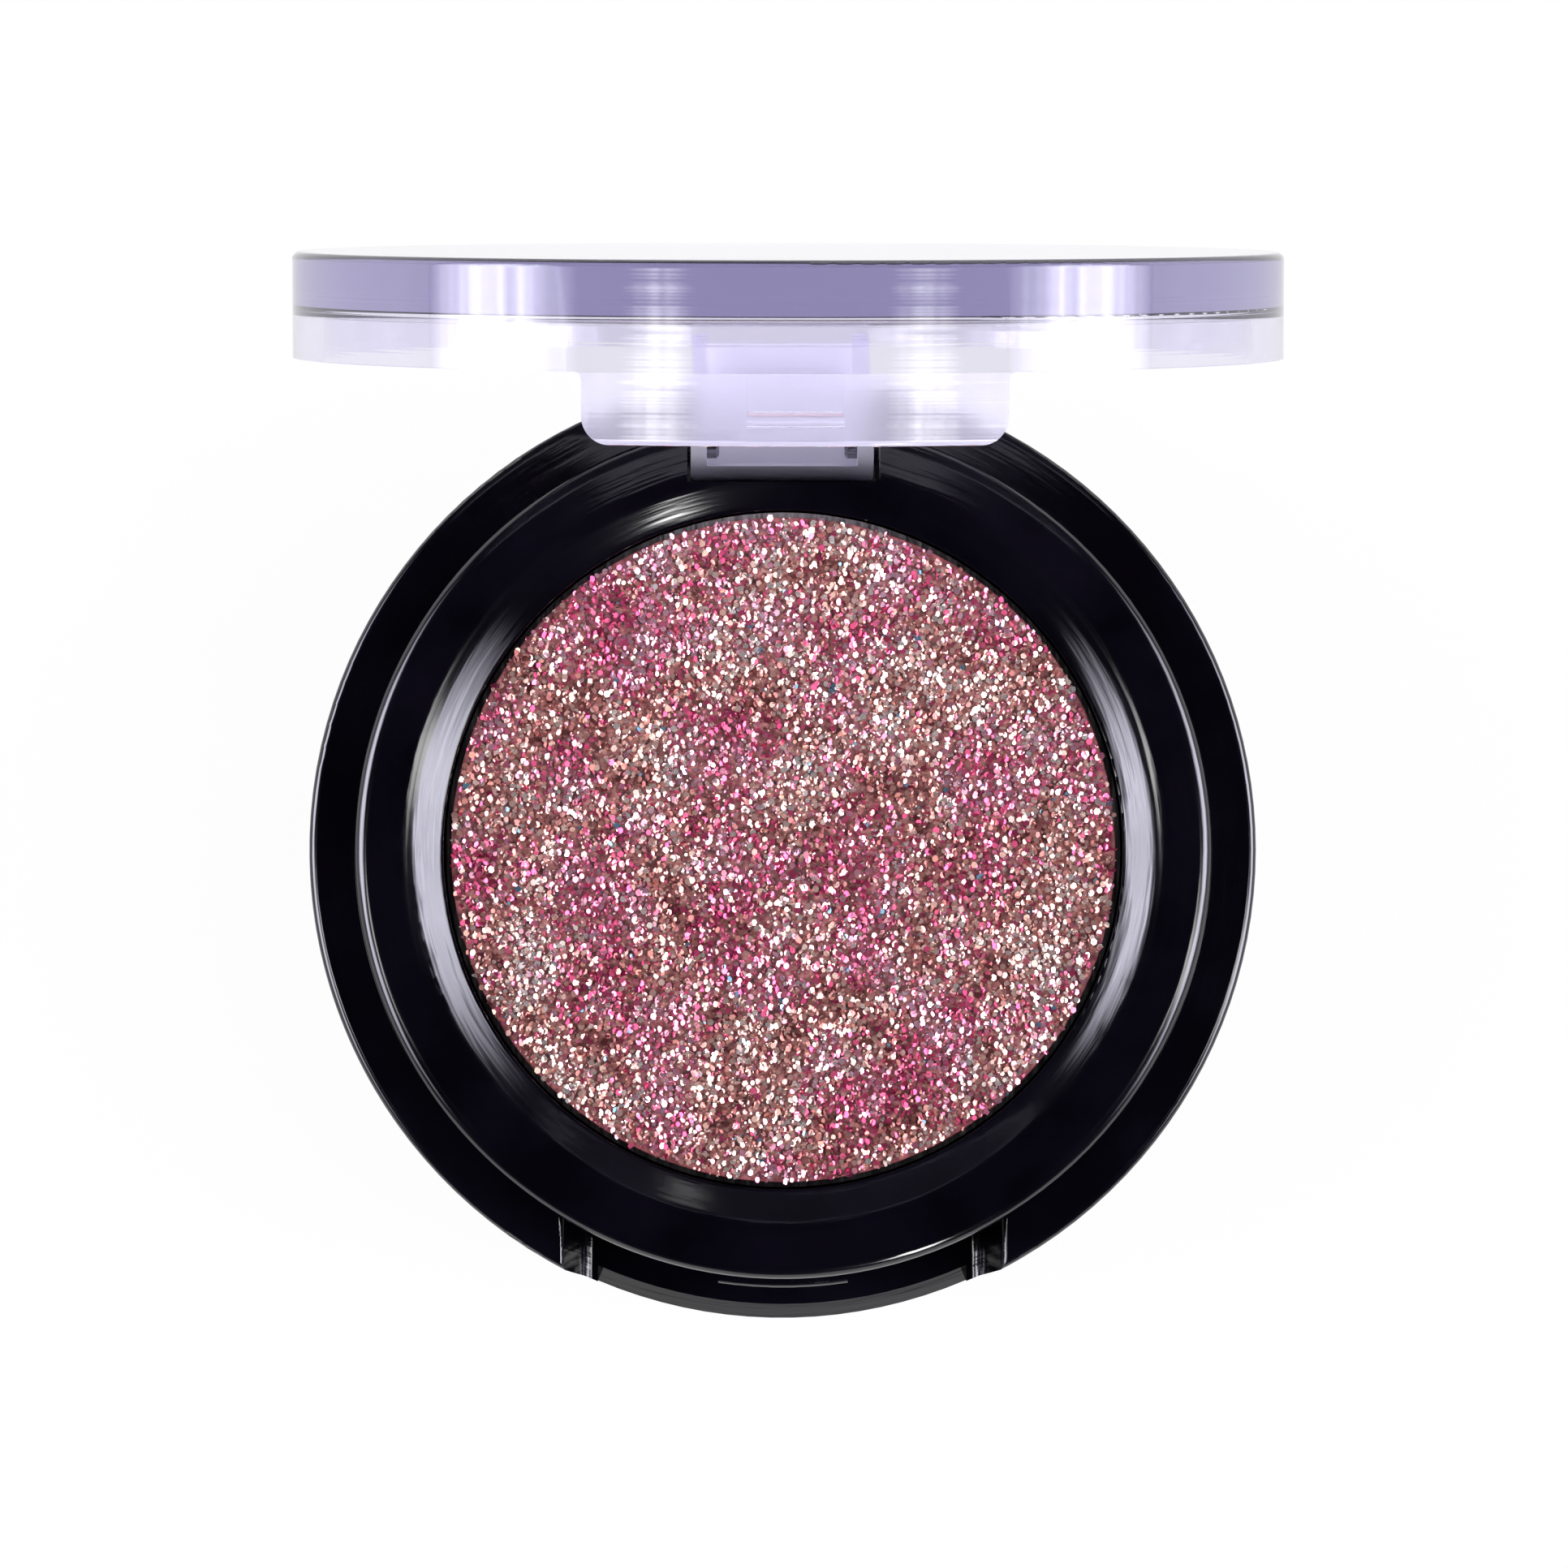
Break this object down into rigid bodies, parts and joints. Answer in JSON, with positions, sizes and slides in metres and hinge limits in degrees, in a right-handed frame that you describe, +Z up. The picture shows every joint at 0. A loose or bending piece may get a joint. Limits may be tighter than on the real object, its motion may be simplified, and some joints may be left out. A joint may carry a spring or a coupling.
{
  "type": "eyeshadow palette",
  "caption": "Round eyeshadow compact: gloss black base with a raised collar round a pan of pressed glitter, and a clear hinged lid with a snap tab.",
  "frame": {"origin": "middle of the underside of the base, on the surface that it stands on", "axes": "+Z up, +Y towards the hinge at the back, +X to the right of someone who uses it"},
  "size_m": [0.038, 0.0437, 0.0405],
  "materials": {
    "gloss_black_abs": "gloss black moulded ABS",
    "clear_styrene": "clear moulded styrene with a faint lilac cast",
    "pan_aluminium": "pressed sheet aluminium",
    "pressed_glitter": "pressed rose and bronze glitter",
    "hot_melt_glue": "hot-melt glue",
    "pin_steel": "drawn steel wire"
  },
  "bodies": {
    "base": {"base_shell": "gloss_black_abs", "pan_frame": "gloss_black_abs", "powder_pan": "pan_aluminium", "eyeshadow_cake": "pressed_glitter", "pan_glue": "hot_melt_glue", "hinge_pin_left": "pin_steel", "hinge_pin_right": "pin_steel"},
    "lid": {"lid": "clear_styrene"}
  },
  "joints": [
    {"name": "lid_hinge", "type": "hinge", "parent": "base", "child": "lid", "pos_m": [0, 0.01645, 0.0045], "axis": [-1, 0, 0], "range_deg": [-85, 15]}
  ]
}
